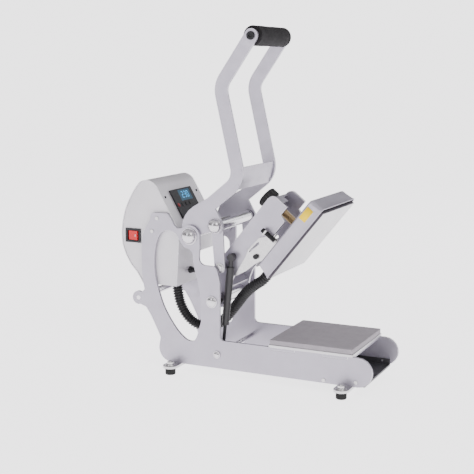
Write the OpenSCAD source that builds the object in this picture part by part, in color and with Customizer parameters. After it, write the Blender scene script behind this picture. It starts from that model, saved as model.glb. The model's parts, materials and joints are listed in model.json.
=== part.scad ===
// Clamshell transfer press, shown open: two flat side plates carry a control box, a bent two-arm
// handle, a toggle linkage and a swing arm with a heated platen that closes on a silicone pad.
// Profile coordinates are (u, z): u runs forward, so y = -u. The floor is z = 0.

/* [Frame] */
// Outer half width of the two side plates
plate_x = 74; // [70:1:84]
// Thickness of a side plate
plate_t = 5; // [4:0.5:5]
// Height of the underside of the side plates above the floor
rail_z0 = 16; // [14:1:18]
// Height of the top edge of the lower rail
rail_z1 = 65; // [64:1:66]
// Front end of the side plates
plate_front = 232.5; // [231:0.5:236]
// Half distance between the feet
foot_x = 91; // [88:1:96]

/* [Linkage] */
// Opening angle of the swing arm
open_angle = 51; // [45:1:51]
// Outer half width of the handle arms
arm_x = 68.5; // [68:0.5:68.5]
// Outer half width of the toggle links
link_x = 62.5; // [62:0.5:62.5]
// Outer half width of the swing arm cheeks
cheek_x = 42.5; // [40:0.5:42.5]
// Distance of the gas strut from the middle plane
strut_x = 51.65; // [51.6:0.01:51.7]

/* [Platens] */
// Half width of the lower platen and its pad
pad_hx = 75; // [70:1:80]
// Front to back length of the pad
pad_len = 145; // [140:1:150]
// Thickness of the silicone pad
pad_t = 8.5; // [6:0.5:8.5]
// Thickness of the heated slab
slab_t = 8; // [6:0.5:8]
// Half width of the platen cover at its lip
cover_hx = 78; // [77:1:80]

/* [Handle] */
// Width of a handle arm
arm_w = 23; // [18:1:25]
// Radius of the grip
grip_r = 16.5; // [14:0.5:18]

/* [Control box] */
// Half width of the control box
box_hx = 68.7; // [60:0.1:68.7]
// Sheet thickness of the box
box_t = 1.5; // [1:0.1:2]
// Width of the controller
panel_w = 75.5; // [60:0.5:76]

/* [Hidden] */
$fn = 48;
fit = 0.05;                     // radial clearance of a running fit
A = [-95, 241];                 // handle pivot
B = [-49, 261];                 // handle to link pivot
C = [-44, 188.5];               // link to swing arm pivot
D = [-53, 131];                 // swing arm pivot
S = [-43.5, 40];                // lower strut pivot
T = [-26.7, 206.3];             // upper strut pivot
lug = [-197, 125];              // rear tie rod
pad_u0 = 54;                    // rear edge of the pad
pad_u1 = pad_u0 + pad_len;
pad_mid = (pad_u0 + pad_u1) / 2;
pad_z = 78;                     // working height of the pad
plate_z = pad_z - pad_t;        // top of the lower platen
gap = 0.3;                      // distance kept between the closed platens
slab_z = pad_z + gap;
lip_z = 82.4;                   // lower lip of the platen cover
cover_z = 109;                  // top of the platen cover
cheek_z0 = 127;                 // lower edge of the closed swing arm
cheek_z1 = 174;                 // upper edge of the closed swing arm
arm_t = 5;
link_t = 4;
cheek_t = 5;
shaft_r = 5;
hinge_r = 8;
hinge_tube_r = 11;
conduit_r = 9.5;
ferrule_r = 11;
strut_len = norm(T - S);
strut_dir = (T - S) / strut_len;
strut_tilt = atan2(strut_dir[0], strut_dir[1]);
strut_body_top = strut_len - 17;
strut_body_bottom = strut_len - 118;
rod_len = 108;
foot_u = [-125, 187];
face_a = [-118.2, 247.2];       // lower and upper corner of the sloping front of the box
face_b = [-160.5, 320.5];
step_x = 12;                    // the lower part of the box reaches from the left side to here
step_z = 200;                   // and up to here
box_foot = [-121, 200];         // where the front wall of the box starts to lean forward
face_tilt = atan2(face_b[1] - face_a[1], face_b[0] - face_a[0]) - 90;
panel_h = 54;
panel_top = 11;                 // from the upper end of the sloping face
screw_s = 20.6;                 // face screws, from the upper end of the sloping face
screw_x = 57.4;
face_gap = 0.06;                // under the controller's frame and the screw heads
display_x = 7;
display_s = panel_top + 13;
button_s = panel_top + 29.5;
button_x = [-31.5, -18, -4.5, 9];
button_r = 3.6;
lead_x = -22;                   // cable gland on the front wall of the box
lead_z = 172;
gland_r = 4.6;
rocker = [-209, 234];           // middle of the mains switch on the left side
route = [[-34, -141.5, 148.6], [-34, -139.5, 133], [-33, -135, 112], [-30, -125, 92], [-25, -111, 78],
    [-19, -94, 72], [-15, -76, 75], [-14, -58, 88], [-14.5, -43, 105], [-16, -31, 120],
    [-19, -19, 135], [-22, -6, 147.5], [-24, 7, 157.5], [-25, 20, 166.5], [-25, 31, 179.4]];

function arc(c, r, a0, a1, n = 10) =
    [for (i = [0 : n]) let (a = a0 + (a1 - a0) * i / n) [c[0] + r * cos(a), c[1] + r * sin(a)]];
function unit(v) = v / norm(v);
function turn_left(v) = [-v[1], v[0]];
// A closed curve through the points p, each span cut into n
function loop_curve(p, n = 5) = [for (i = [0 : len(p) - 1]) for (k = [0 : n - 1])
    spline(p[(i + len(p) - 1) % len(p)], p[i], p[(i + 1) % len(p)], p[(i + 2) % len(p)], k / n)];
// An open curve through the points p
function open_curve(p, n = 4) = concat([for (i = [0 : len(p) - 2]) for (k = [0 : n - 1])
    spline(p[max(i - 1, 0)], p[i], p[i + 1], p[min(i + 2, len(p) - 1)], k / n)], [p[len(p) - 1]]);
function spline(a, b, c, d, t) = 0.5 * ((2 * b) + (c - a) * t + (2 * a - 5 * b + 4 * c - d) * t * t
    + (3 * b - a - 3 * c + d) * t * t * t);
// A corner at p between a and b, rounded with radius r
function fillet(a, p, b, r, n = 8) =
    let (v = unit(a - p), w = unit(b - p), half = acos(v * w) / 2, m = unit(v + w),
         c = p + m * r / sin(half), s = p + v * r / tan(half), e = p + w * r / tan(half),
         a0 = atan2(s[1] - c[1], s[0] - c[0]), da = atan2(e[1] - c[1], e[0] - c[0]) - a0,
         sweep = da > 180 ? da - 360 : da < -180 ? da + 360 : da)
    arc(c, r, a0, a0 + sweep, n);
// Direction of a path at point i, and the path moved sideways by d
function tangent(p, i) = unit(p[min(i + 1, len(p) - 1)] - p[max(i - 1, 0)]);
function moved(p, d) = [for (i = [0 : len(p) - 1]) let (
    a = unit(p[i] - p[max(i - 1, 0)] + (i == 0 ? p[1] - p[0] : [0, 0])),
    b = unit(p[min(i + 1, len(p) - 1)] - p[i] + (i == len(p) - 1 ? p[i] - p[i - 1] : [0, 0])),
    m = unit(a + b)) p[i] + turn_left(m) * d / (m * b)];
// The outline round two circles and their outer tangents
function capsule(p, q, rp, rq) =
    let (t = atan2(q[1] - p[1], q[0] - p[0]), f = acos((rp - rq) / norm(q - p)))
    concat(arc(q, rq, t - f, t + f, 14), arc(p, rp, t + f, t + 360 - f, 14));
function reversed(p) = [for (i = [len(p) - 1 : -1 : 0]) p[i]];
function band(p, w) = concat(moved(p, w / 2), reversed(moved(p, -w / 2)));

box_profile = concat([[-124, 150], box_foot], fillet(box_foot, face_a, face_b, 10, 5),
    arc([-180.9, 308.7], 23.6, 30, 115, 9), [[-198, 324.5], [-206, 314], [-215, 299.5], [-225, 278],
    [-230.5, 256], [-232.5, 236], [-231, 217], [-224.5, 199], [-215, 183], [-201, 167.5], [-190, 150]]);

// Plates in the profile plane, from x0 towards +X by t
module sheet(x0, t) translate([x0 + t, 0, 0]) rotate([90, 0, -90]) linear_extrude(t) children();
// A round bar along X between x0 and x1
module bar(x0, x1, p, r) translate([x0, -p[0], p[1]]) rotate([0, 90, 0]) cylinder(h = x1 - x0, r = r);
// Places children on the right side too
module both() {
    children();
    mirror([1, 0, 0]) children();
}
// Turns what is drawn closed into the open rest position
module opened() translate([0, -D[0], D[1]]) rotate([-open_angle, 0, 0]) translate([0, D[0], -D[1]])
    children();
// A box given by its corners in (x, u, z)
module block(x0, x1, u0, u1, z0, z1) translate([x0, -u1, z0]) cube([x1 - x0, u1 - u0, z1 - z0]);
// A domed cap nut with its flange, sitting on the plane x = x0 and standing out towards -X
module dome_cap(x0, p, r, h, rim = 1.5) translate([x0, -p[0], p[1]]) rotate([0, -90, 0])
    rotate_extrude() polygon(concat([[0, 0], [r + rim, 0], [r + rim, 2], [r, 2]],
        [for (a = [0 : 15 : 90]) [r * cos(a), 2.5 + (h - 2.5) * sin(a)]]));

// ---- frame ----
side_outline = concat(arc([plate_front - 24.5, 40.5], 24.5, -90, 90), arc([-30.5, rail_z1 + 8], 8, -90, -180),
    [[-38.5, 165], [-41, 178], [-44.5, 188]], arc([-50, 188.5], 4, 20, 90), [[-66, 193]],
    arc([-66, 204.5], 11.5, -100, -160), [[-77.4, 209], [-76, 221], [-76.2, 234]],
    arc(A, 19, -8, 125), [[-111, 253.5], [-119, 253], [-126, 259], [-131, 269], [-138, 277.5], [-167, 277],
     [-170, 274], [-172.5, 264], [-180, 252], [-186, 238], [-189, 222], [-189.5, 205], [-189.5, 175],
     [-187.5, 155], [-184.5, 141]], arc(lug, 12, 60, 290), [[-182, 110], [-173, 97], [-164, 80],
     [-156, 64], [-153.5, 58], [-155, 51]], arc([-132, 40.5], 24.5, 165, 270));
lens_outline = loop_curve([[-93, 58], [-106, 62], [-124, 79], [-145, 111], [-156, 140], [-163, 166],
    [-164.5, 189], [-163, 211], [-157.5, 232], [-148, 245], [-135, 248.5], [-122, 244], [-114, 233],
    [-106.5, 222.5], [-95, 218.5], [-89.5, 211], [-88.5, 200], [-84.5, 181], [-78.5, 160],
    [-72.5, 125], [-73, 100], [-77, 84], [-84, 64]]);
tab_u = [[56, 99], [148, 191]];

module side_plate() difference() {
    sheet(-plate_x, plate_t) difference() {
        polygon(side_outline);
        polygon(lens_outline);
        for (t = tab_u) translate([t[0] - 0.2, rail_z1 - 5.2]) square([t[1] - t[0] + 0.4, 6]);
    }
    bar(-plate_x - 1, 0, A, shaft_r + fit);
    bar(-plate_x - 1, 0, D, hinge_r + fit);
    bar(-plate_x - 1, 0, S, 4 + fit);
    bar(-plate_x - 1, 0, lug, 4 + fit);
    for (p = frame_screw_at) bar(-plate_x - 1, 0, p, 2 + fit);
}
frame_screw_at = [[-158, 268], [-168, 245], [205, 24], [150, 21]];
module side_plate_left() color("lavender") side_plate();
module side_plate_right() color("lavender") mirror([1, 0, 0]) side_plate();

module base_bridge() color("lavender") {
    block(-plate_x + plate_t, plate_x - plate_t, 50, 197, rail_z1 - 5, rail_z1);
    both() for (t = tab_u) block(-plate_x, -plate_x + plate_t, t[0], t[1], rail_z1 - 5, rail_z1);
}
module front_floor() color("slategray") difference() {
    union() {
        block(-plate_x + plate_t + 0.1, plate_x - plate_t - 0.1, 120, 219, rail_z0, rail_z0 + 3);
        both() block(-plate_x + plate_t + 0.1, -plate_x + plate_t + 3.1, 120, 219, rail_z0, rail_z0 + 12);
    }
    for (p = [[205, 24], [150, 21]]) bar(-plate_x, plate_x, p, 2 + fit);
    for (x = [-20, 0, 20]) block(x - 4, x + 4, 150, 190, rail_z0 - 1, rail_z0 + 4);
}
module foot_bracket(u) color("silver") difference() {
    union() {
        block(-foot_x, foot_x, u - 13, u + 13, rail_z0 - 4, rail_z0);
        both() translate([-foot_x, -u, rail_z0 - 4]) cylinder(h = 4, r = 13);
    }
    both() translate([-foot_x, -u, 0]) cylinder(h = rail_z0 + 1, r = 4 + fit);
}
module foot_bracket_front() foot_bracket(foot_u[1]);
module foot_bracket_rear() foot_bracket(foot_u[0]);
module rubber_feet() color("black") for (u = foot_u) both() translate([-foot_x, -u, 0]) difference() {
    union() {
        cylinder(h = 2, r1 = 8.2, r2 = 9);
        translate([0, 0, 2]) cylinder(h = rail_z0 - 6, r = 9);
    }
    translate([0, 0, 4]) cylinder(h = 20, r = 4 + fit);
}
module foot_bolts() color("silver") for (u = foot_u) both() translate([-foot_x, -u, 0]) {
    translate([0, 0, 5]) cylinder(h = rail_z0 - 3, r = 4);
    translate([0, 0, rail_z0]) cylinder(h = 2, r1 = 9.5, r2 = 8.5);
    translate([0, 0, rail_z0 + 2]) cylinder(h = 4, r = 6.2, $fn = 6);
    translate([0, 0, rail_z0 + 6]) cylinder(h = 2, r1 = 4, r2 = 3.2);
}
module lower_platen() color("gainsboro")
    block(-pad_hx - 1, pad_hx + 1, pad_u0 - 1, pad_u1 + 1, rail_z1, plate_z);
module silicone_pad() color("gray") block(-pad_hx, pad_hx, pad_u0, pad_u1, plate_z, pad_z);
module rear_tie_rod() color("silver") {
    bar(-plate_x, plate_x, lug, 4);
    bar(-plate_x + plate_t, plate_x - plate_t, lug, 6);
}
module main_pivot_shaft() color("silver") {
    bar(-plate_x, plate_x, A, shaft_r);
    both() dome_cap(-plate_x, A, 13, 13);
}
module hinge_shaft() color("silver") {
    bar(-plate_x, plate_x, D, hinge_r);
    both() dome_cap(-plate_x, D, 8.6, 6);
}
module strut_pin() color("silver") {
    bar(-plate_x, plate_x, S, 4);
    both() dome_cap(-plate_x, S, 5, 5);
}
module frame_screws() color("silver") both() for (p = frame_screw_at) {
    bar(-plate_x, -plate_x + 8, p, 2);
    bar(-plate_x - 1.2, -plate_x, p, 3.4);
}

// ---- control box ----
module control_box_wrap() color("lavender") difference() {
    sheet(-box_hx, 2 * box_hx) polygon(concat(moved(box_profile, 0), reversed(moved(box_profile, box_t))));
    on_face(0, panel_top + panel_h / 2) cube([panel_w - 6, panel_h - 6, 20], center = true);
    for (s = [-1, 1]) on_face(s * screw_x, screw_s) translate([0, 0, -4]) cylinder(h = 8, r = 1.6);
    translate([lead_x, 130, lead_z]) rotate([90, 0, 0]) cylinder(h = 22, r = gland_r + fit);
    block(step_x, box_hx + 1, -240, -100, 140, step_z);
}
// Places children on the sloping face: x, then distance down from its upper end, z outwards
module on_face(x, s) translate([x, -face_b[0], face_b[1]]) rotate([90 - face_tilt, 0, 0])
    translate([0, -s, 0]) children();
module box_side() sheet(-box_hx + 1, box_t) polygon(moved(box_profile, box_t + 0.1));
module control_box_side_left() color("lavender") difference() {
    box_side();
    block(-box_hx, -box_hx + 5, rocker[0] - 13.3, rocker[0] + 13.3, rocker[1] - 10.3, rocker[1] + 10.3);
    for (p = [[-158, 268], [-168, 245]]) bar(-box_hx, -60, p, 2 + fit);
}
module control_box_side_right() color("lavender") difference() {
    mirror([1, 0, 0]) box_side();
    block(box_hx - 10, box_hx + 1, -240, -100, 140, step_z);
    for (p = [[-158, 268], [-168, 245]]) bar(60, box_hx, p, 2 + fit);
}
module control_box_floor() color("lavender") {
    difference() {
        block(-box_hx + 2.6, step_x, -188, -126, 150, 150 + box_t);
        translate([route[0][0], -route[0][1], 140]) cylinder(h = 20, r = 8);
    }
    intersection() {
        sheet(step_x - box_t, box_t) polygon(moved(box_profile, box_t + 0.1));
        block(0, 20, -240, -100, 150, step_z);
    }
    block(step_x - box_t, box_hx - 2.6, -221, -124, step_z, step_z + box_t);
}
module controller() color("black") difference() {
    on_face(0, panel_top + panel_h / 2) union() {
        translate([-panel_w / 2, -panel_h / 2, face_gap]) cube([panel_w, panel_h, 3]);
        translate([0, 0, -16]) cube([panel_w - 7, panel_h - 7, 34], center = true);
    }
    on_face(display_x, display_s) translate([0, 0, 3]) cube([42, 21, 3], center = true);
    for (x = button_x) on_face(x, button_s) cylinder(h = 9, r = button_r + 0.2);
}
module display() color("teal") on_face(display_x, display_s) translate([-20.8, -10.3, 1.6])
    cube([41.6, 20.6, 1.2]);
module button(i) on_face(button_x[i], button_s) translate([0, 0, 1.7]) {
    cylinder(h = 1.8, r = button_r);
    translate([0, 0, 1.8]) cylinder(h = 0.6, r1 = button_r, r2 = button_r - 0.6);
}
module button_set() color("firebrick") button(0);
module button_down() color("dimgray") button(1);
module button_up() color("dimgray") button(2);
module button_mode() color("dimgray") button(3);
module controller_screws() color("black") for (s = [-1, 1]) on_face(s * screw_x, screw_s) {
    translate([0, 0, -6]) cylinder(h = 6.5, r = 1.5);
    translate([0, 0, face_gap]) cylinder(h = 1.2, r1 = 2.6, r2 = 1.8);
}
module rocker_bezel() color("black") difference() {
    union() {
        block(-box_hx - 0.8, -box_hx + 1, rocker[0] - 15.5, rocker[0] + 15.5, rocker[1] - 12.5, rocker[1] + 12.5);
        block(-box_hx + 1, -box_hx + 22, rocker[0] - 13.2, rocker[0] + 13.2, rocker[1] - 10.2, rocker[1] + 10.2);
    }
    block(-box_hx - 2, -box_hx + 14, rocker[0] - 11, rocker[0] + 11, rocker[1] - 8.5, rocker[1] + 8.5);
}
module rocker_switch() color("red") translate([-box_hx + 5, -rocker[0], rocker[1]]) {
    linear_extrude(16, center = true) polygon([[-7, -9.3], [-5.4, 0], [-4.4, 9.3], [-1.5, 9.3], [4, 4],
        [4, -4], [-1.5, -9.3]]);
    cylinder(h = 16.8, r = 1.5, center = true);
}
module relay_board() color("darkgreen") {
    block(-60, 6, -186, -140, 156, 158);
    block(-52, -24, -180, -150, 158, 180);
    block(-14, 2, -176, -156, 158, 170);
}
module cable_gland() color("black") difference() {
    union() {
        translate([lead_x, 127.4, lead_z]) rotate([90, 0, 0]) cylinder(h = 15, r = gland_r);
        translate([lead_x, 122, lead_z]) rotate([90, 0, 0]) cylinder(h = 4, r = 6.4, $fn = 6);
    }
    translate([lead_x, 130, lead_z]) rotate([90, 0, 0]) cylinder(h = 22, r = 2.2);
}

// ---- conduit between the box and the heated platen ----
module tube(path, r, sides) {
    ring = [for (i = [0 : len(path) - 1]) let (t = tangent(path, i), s = unit(cross(t, [1, 0, 0.35])),
        q = cross(s, t)) for (k = [0 : sides - 1]) let (a = 360 * k / sides)
        path[i] + r * (cos(a) * s + sin(a) * q)];
    n = len(path);
    polyhedron(ring, concat([[for (k = [0 : sides - 1]) k]],
        [for (i = [0 : n - 2]) for (k = [0 : sides - 1]) [i * sides + k, (i + 1) * sides + k,
            (i + 1) * sides + (k + 1) % sides, i * sides + (k + 1) % sides]],
        [[for (k = [sides - 1 : -1 : 0]) (n - 1) * sides + k]]));
}
function to_space(p) = [for (q = p) [q[0], -q[1], q[2]]];
module conduit() color("black") tube(to_space(open_curve(route, 3)), conduit_r, 12);
module conduit_ferrule() color("black") opened() translate([-25, -38, 96.2]) rotate([90, 0, 0])
    difference() {
        cylinder(h = 14, r = ferrule_r);
        translate([0, 0, -1]) cylinder(h = 16, r = 8);
    }
lead_route = [[-22, -112.2, 172], [-22, -107, 171], [-22, -103, 166], [-22, -101, 159],
    [-24, -100, 152], [-28, -98, 148], [-33, -95, 149], [-37, -93, 154], [-40, -92, 160]];
module sensor_lead() color("black") tube(to_space(open_curve(lead_route, 2)), 2, 8);

// ---- handle ----
grip_at = [16, 574];
elbow = [-5, 340];
bend = [-40, 493];
heel = [-80, 279];
arm_path = concat([grip_at], fillet(grip_at, bend, elbow, 34), fillet(bend, elbow, heel, 34),
    [elbow + 66 * unit(heel - elbow)]);
cap_angle = atan2(bend[1] - grip_at[1], bend[0] - grip_at[0]) + 270;
arm_outline = concat(arc(grip_at, arm_w / 2, cap_angle, cap_angle - 180, 12), moved(arm_path, arm_w / 2),
    arc(B, 14, 38, -125, 12), [[-68, 248], [-78, 243.8]], arc(A, 12, -10, -190, 12),
    [[-112.5, 257], [-110, 266], [-106, 275.5], [-99, 284.5], [-90, 291.5]],
    reversed(moved(arm_path, -arm_w / 2)));
module arm_plate() difference() {
    sheet(-arm_x, arm_t) polygon(arm_outline);
    bar(-80, 0, A, shaft_r + fit);
    bar(-80, 0, B, shaft_r + fit);
    bar(-80, 0, grip_at, 4 + fit);
    for (p = stiffener_tabs) bar(-80, 0, p, 2.2);
}
stiffener_tabs = [[-1.5, 356], [-6.5, 331]];
module handle_arm_left() color("lavender") arm_plate();
module handle_arm_right() color("lavender") mirror([1, 0, 0]) arm_plate();
module handle_stiffener() color("thistle") {
    sheet(-arm_x + arm_t, 2 * (arm_x - arm_t)) polygon(band([[-1, 361], [-1.2, 352], [-5, 336], [-10.5, 324]], 3));
    both() for (p = stiffener_tabs) bar(-arm_x - 0.6, -arm_x + arm_t + 4, p, 2.1);
}
module grip() color("black") difference() {
    bar(-arm_x + arm_t, arm_x - arm_t, grip_at, grip_r);
    bar(-arm_x, arm_x, grip_at, 4 + fit);
}
module grip_screws() color("dimgray") {
    bar(-arm_x, arm_x, grip_at, 4);
    both() difference() {
        bar(-arm_x - 3.4, -arm_x, grip_at, 7);
        translate([-arm_x - 4, -grip_at[0], grip_at[1]]) rotate([0, 90, 0]) cylinder(h = 2.6, r = 3, $fn = 6);
    }
}
module toggle_tube() color("silver") difference() {
    bar(-link_x + link_t + 1, link_x - link_t - 1, B, 10.5);
    bar(-80, 80, B, shaft_r + fit);
}
module toggle_bolts() color("silver") {
    bar(-arm_x, arm_x, B, shaft_r);
    both() {
        dome_cap(-arm_x, B, 12, 12.5, 0.7);
        difference() {
            bar(-link_x - 0.9, -link_x - 0.1, B, 11.5);
            bar(-link_x - 2, -link_x + 1, B, shaft_r + 1);
        }
    }
}

// ---- toggle links ----
module link() difference() {
    sheet(-link_x, link_t) polygon(capsule(B, C, 11, 9.4));
    bar(-80, 0, B, shaft_r + fit);
    bar(-80, 0, C, 4 + fit);
}
module link_left() color("lavender") link();
module link_right() color("lavender") mirror([1, 0, 0]) link();
module link_bolts() color("silver") both() {
    bar(-link_x, -link_x + link_t, C, 4);
    bar(-link_x - 1.4, -link_x, C, 8.4);
    translate([-link_x - 4.8, -C[0], C[1]]) rotate([0, 90, 0]) cylinder(h = 3.4, r = 6.4, $fn = 6);
}

// ---- swing arm, drawn closed ----
C2 = [D[0] + cos(open_angle) * (C[0] - D[0]) + sin(open_angle) * (C[1] - D[1]),
      D[1] - sin(open_angle) * (C[0] - D[0]) + cos(open_angle) * (C[1] - D[1])];
T2 = [D[0] + cos(open_angle) * (T[0] - D[0]) + sin(open_angle) * (T[1] - D[1]),
      D[1] - sin(open_angle) * (T[0] - D[0]) + cos(open_angle) * (T[1] - D[1])];
cheek_outline = concat(arc([141, cheek_z1 - 12], 12, 0, 90, 6), [[8, cheek_z1]], arc([C2[0] - 2, 160], 14, 90, 140, 5),
    arc(D, 16, 118, 296), [[-34, 124], [-22, 131], [-8, 135.4], [6, 136], [24, 134.2], [44, 131], [70, 128.5],
    [96, cheek_z0], [131, cheek_z0], [135, 139], [153, 139]]);
module cheek() difference() {
    sheet(-cheek_x, cheek_t) difference() {
        polygon(cheek_outline);
        polygon([for (p = ear_slot) [p[0], p[1] + (p[1] > 139 ? 3 : -1)]]);
    }
    bar(-80, 0, D, hinge_tube_r + fit);
}
module cheek_left() color("lavender") opened() cheek();
module cheek_right() color("lavender") opened() mirror([1, 0, 0]) cheek();
module swing_web() color("thistle") opened() difference() {
    union() {
        block(-cheek_x + cheek_t, cheek_x - cheek_t, 98, 140, cheek_z1 - 4.5, cheek_z1);
        block(-18, 18, pad_mid - 14, pad_mid + 14, cheek_z1 - 16, cheek_z1 - 4.5);
        block(-cheek_x + cheek_t, cheek_x - cheek_t, -30, -26, 131, 150);
    }
    translate([0, -pad_mid, 100]) cylinder(h = 100, r = 7 + fit);
}
module swing_hinge_tube() color("thistle") difference() {
    bar(-plate_x + plate_t + 1, plate_x - plate_t - 1, D, hinge_tube_r);
    bar(-80, 80, D, hinge_r + fit);
}
module toggle_bosses() color("silver") opened() both() bar(-link_x + link_t + 0.6, -cheek_x, C2, 6.5);
module strut_stud() color("silver") opened() bar(-ear_x - ear_t, -cheek_x, T2, 5);
spindle_z = 105;
knob_z = cheek_z1 + 1.2;
module pressure_spindle() color("peru") opened() translate([0, -pad_mid, spindle_z]) {
    cylinder(h = knob_z - spindle_z, r = 7);
    translate([0, 0, cheek_z1 - 16 - spindle_z - 3.5]) cylinder(h = 3, r = 11);
}
module pressure_knob() color("black") opened() translate([0, -pad_mid, knob_z]) {
    for (i = [0 : 17]) rotate(i * 20) translate([16.4, 0, 0]) cylinder(h = 13, r = 1.8, $fn = 16);
    cylinder(h = 14, r = 16.4);
    translate([0, 0, 14]) cylinder(h = 2, r1 = 16.4, r2 = 14);
}

// ---- heated platen, drawn closed ----
cover_side = [[pad_u0 - 4, lip_z], [pad_u1 + 6, lip_z], [pad_u1 + 2.5, cover_z], [pad_u0 + 3, cover_z]];
cover_front = [[-cover_hx, lip_z], [cover_hx, lip_z], [cover_hx - 2, cover_z], [-cover_hx + 2, cover_z]];
module cover_block(d) intersection() {
    sheet(-cover_hx, 2 * cover_hx) polygon([for (p = cover_side) [pad_mid + (p[0] - pad_mid) * (1 - d / 75),
        p[1] - (p[1] > lip_z ? d : 0) - (p[1] == lip_z && d > 0 ? 1 : 0)]]);
    translate([0, 20, 0]) rotate([90, 0, 0]) linear_extrude(300) polygon([for (p = cover_front)
        [p[0] * (1 - d / 75), p[1] - (p[1] > lip_z ? d : 0) - (p[1] == lip_z && d > 0 ? 1 : 0)]]);
}
module platen_cover() color("lavender") opened() difference() {
    cover_block(0);
    cover_block(1.5);
    translate([0, -pad_mid, 90]) cylinder(h = 30, r = 13.2);
    translate([-25, -pad_u0 + 10, 96.2]) rotate([90, 0, 0]) cylinder(h = 30, r = ferrule_r + fit);
}
module heat_slab() color("gray") opened() block(-pad_hx, pad_hx, pad_u0, pad_u1, slab_z, slab_z + slab_t);
element_z = slab_z + slab_t + 3.2;
module heating_element() color("saddlebrown") opened() {
    for (x = [-45, 45]) translate([x, -pad_u0 - 15, element_z]) rotate([90, 0, 0])
        cylinder(h = pad_len - 75, r = 3);
    translate([0, -pad_u1 + 60, element_z]) rotate([0, 0, 180])
        rotate_extrude(angle = 180) translate([45, 0]) circle(3, $fn = 24);
}
module insulation() color("white") opened()
    block(-pad_hx + 3, pad_hx - 3, pad_u0 + 2, pad_u1 - 2, element_z + 3.2, element_z + 4.8);
hub_z0 = 97.2;
module platen_hub() color("silver") opened() translate([0, -pad_mid, 0]) difference() {
    translate([0, 0, hub_z0]) union() {
        cylinder(h = 23, r = 13);
        translate([0, 0, cover_z - hub_z0]) cylinder(h = 3, r = 20);
    }
    translate([0, 0, 100]) cylinder(h = 60, r = 7 + fit);
}
ear_x = cheek_x + 0.3;          // the bracket's ears stand just outside the cheeks
ear_t = 2;
ear_outline = [[56, cover_z + 2], [100, cover_z + 2], [100, 141], [94, 141], [93.5, 134], [88, 137], [80, 143.5],
    [50, 145], [38, 141.5], [10, 137.2], [1, 136.5], [-1.5, 134], [18.7, 125.5], [40, 121], [51, 116.5]];
ear_slot = [[49, 140.6], [72, 136.6], [74.5, 139.2], [70, 141.2], [50, 142.6]];
guide_u = 97;                   // upright guide bolt beside each ear
guide_x = 50;
module platen_bracket() color("gainsboro") opened() {
    block(-ear_x - ear_t, ear_x + ear_t, 57, 100, cover_z, cover_z + 3);
    both() {
        sheet(-ear_x - ear_t, ear_t) difference() {
            polygon(ear_outline);
            polygon(ear_slot);
        }
        difference() {
            block(-guide_x - 4.5, -ear_x, guide_u - 5, guide_u + 5, 138, 141);
            translate([-guide_x, -guide_u, 130]) cylinder(h = 20, r = 2.6);
        }
    }
}
module platen_studs() color("black") opened() both() {
    translate([-guide_x, -guide_u, cover_z]) cylinder(h = 38, r = 2.5);
    translate([-guide_x, -guide_u, 118]) cylinder(h = 19.7, r = 3.4);
    translate([-guide_x, -guide_u, 141.3]) cylinder(h = 5.4, r = 4.2, $fn = 6);
    bar(-ear_x - ear_t - 4.5, -ear_x - ear_t, [52, 127], 4.4);
}

// ---- gas strut ----
module along_strut() translate([-strut_x, -S[0], S[1]]) rotate([strut_tilt, 0, 0]) children();
module strut_cylinder() color("black") difference() {
    union() {
        along_strut() translate([0, 0, strut_body_bottom]) cylinder(h = strut_body_top - strut_body_bottom, r = 6.5);
        along_strut() translate([0, 0, strut_body_top]) cylinder(h = 12, r = 4);
        bar(-strut_x - 4.5, -strut_x + 6.5, T, 6.5);
    }
    along_strut() translate([0, 0, strut_body_bottom - 1]) cylinder(h = 96, r = 3 + fit);
}
module strut_rod() color("dimgray") difference() {
    union() {
        along_strut() cylinder(h = rod_len, r = 3);
        bar(-strut_x - 4.5, -strut_x + 4.5, S, 7.5);
    }
    bar(-80, 80, S, 4 + fit);
}

side_plate_left();
side_plate_right();
base_bridge();
front_floor();
foot_bracket_front();
foot_bracket_rear();
rubber_feet();
foot_bolts();
lower_platen();
silicone_pad();
rear_tie_rod();
main_pivot_shaft();
hinge_shaft();
strut_pin();
frame_screws();
control_box_wrap();
control_box_side_left();
control_box_side_right();
control_box_floor();
controller();
controller_screws();
display();
button_set();
button_down();
button_up();
button_mode();
rocker_bezel();
rocker_switch();
relay_board();
cable_gland();
sensor_lead();
conduit();
conduit_ferrule();
handle_arm_left();
handle_arm_right();
handle_stiffener();
grip();
grip_screws();
toggle_tube();
toggle_bolts();
link_left();
link_right();
link_bolts();
cheek_left();
cheek_right();
swing_web();
swing_hinge_tube();
toggle_bosses();
strut_stud();
pressure_spindle();
pressure_knob();
platen_cover();
heat_slab();
heating_element();
insulation();
platen_hub();
platen_bracket();
platen_studs();
strut_cylinder();
strut_rod();
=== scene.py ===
"""Looks of the small clamshell heat transfer press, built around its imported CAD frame."""
import json
import math

import bmesh
import bpy
from mathutils import Matrix, Vector


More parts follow.
